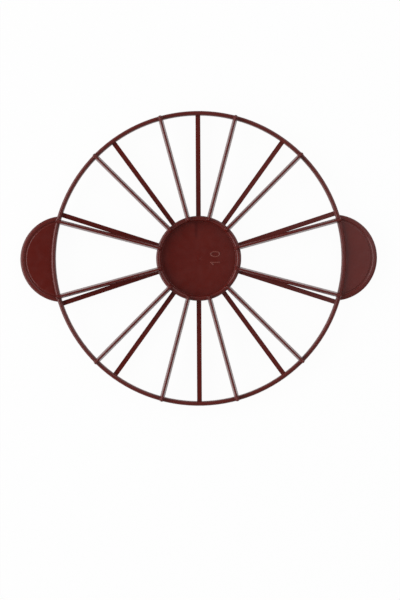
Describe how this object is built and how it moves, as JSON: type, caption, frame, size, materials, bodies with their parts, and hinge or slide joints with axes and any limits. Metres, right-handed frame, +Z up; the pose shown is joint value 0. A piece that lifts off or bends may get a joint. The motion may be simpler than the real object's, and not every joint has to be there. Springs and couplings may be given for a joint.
{
  "type": "cake portion marker",
  "caption": "Double-sided cake portion marker: wedge blades run from a dished hub to an outer ring on both faces, with a ribbed handle at either side.",
  "frame": {"origin": "middle of the hub, on the plane that the lower blades rest on", "axes": "+Z up through the hub, towards the face with the closer blade spacing; +X towards a handle"},
  "size_m": [0.327, 0.27, 0.02],
  "materials": {
    "plastic": "injection-moulded, glossy, deep red-brown"
  },
  "bodies": {
    "root": {"portion_marker": "plastic"}
  },
  "joints": []
}
